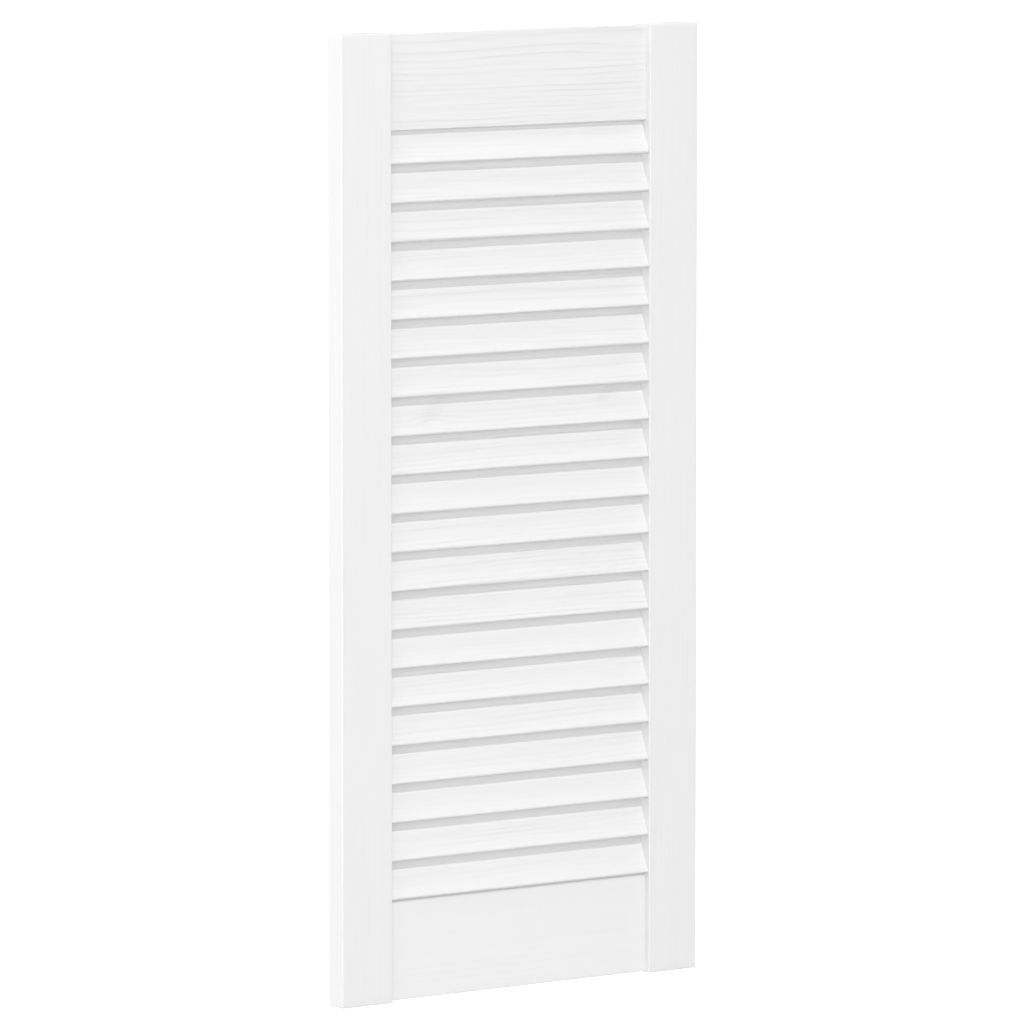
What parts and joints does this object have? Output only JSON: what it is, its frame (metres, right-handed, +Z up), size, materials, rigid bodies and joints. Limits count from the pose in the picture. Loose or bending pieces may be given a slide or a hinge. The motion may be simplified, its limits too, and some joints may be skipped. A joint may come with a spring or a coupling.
{
  "type": "louvred cabinet door",
  "caption": "White painted pine louvred cabinet door: stiles and rails around fixed sloping slats that screen the inside and let air through.",
  "frame": {"origin": "foot of the hinge edge, in the middle of the thickness of the left stile's outer edge", "axes": "+X along the width away from the hinge edge, +Z up, -Y out of the front, where the slats' noses are low"},
  "size_m": [0.394, 0.021, 0.85],
  "materials": {
    "stile_paint": "white satin paint on pine, with the grain faintly showing",
    "rail_paint": "white satin paint on pine, with the grain faintly showing",
    "louvre_paint": "white satin paint on pine, with the grain faintly showing"
  },
  "bodies": {
    "root": {"left_stile": "stile_paint", "right_stile": "stile_paint", "top_rail": "rail_paint", "bottom_rail": "rail_paint", "louvre_01": "louvre_paint", "louvre_02": "louvre_paint", "louvre_03": "louvre_paint", "louvre_04": "louvre_paint", "louvre_05": "louvre_paint", "louvre_06": "louvre_paint", "louvre_07": "louvre_paint", "louvre_08": "louvre_paint", "louvre_09": "louvre_paint", "louvre_10": "louvre_paint", "louvre_11": "louvre_paint", "louvre_12": "louvre_paint", "louvre_13": "louvre_paint", "louvre_14": "louvre_paint", "louvre_15": "louvre_paint", "louvre_16": "louvre_paint", "louvre_17": "louvre_paint", "louvre_18": "louvre_paint", "louvre_19": "louvre_paint", "louvre_20": "louvre_paint"}
  },
  "joints": []
}
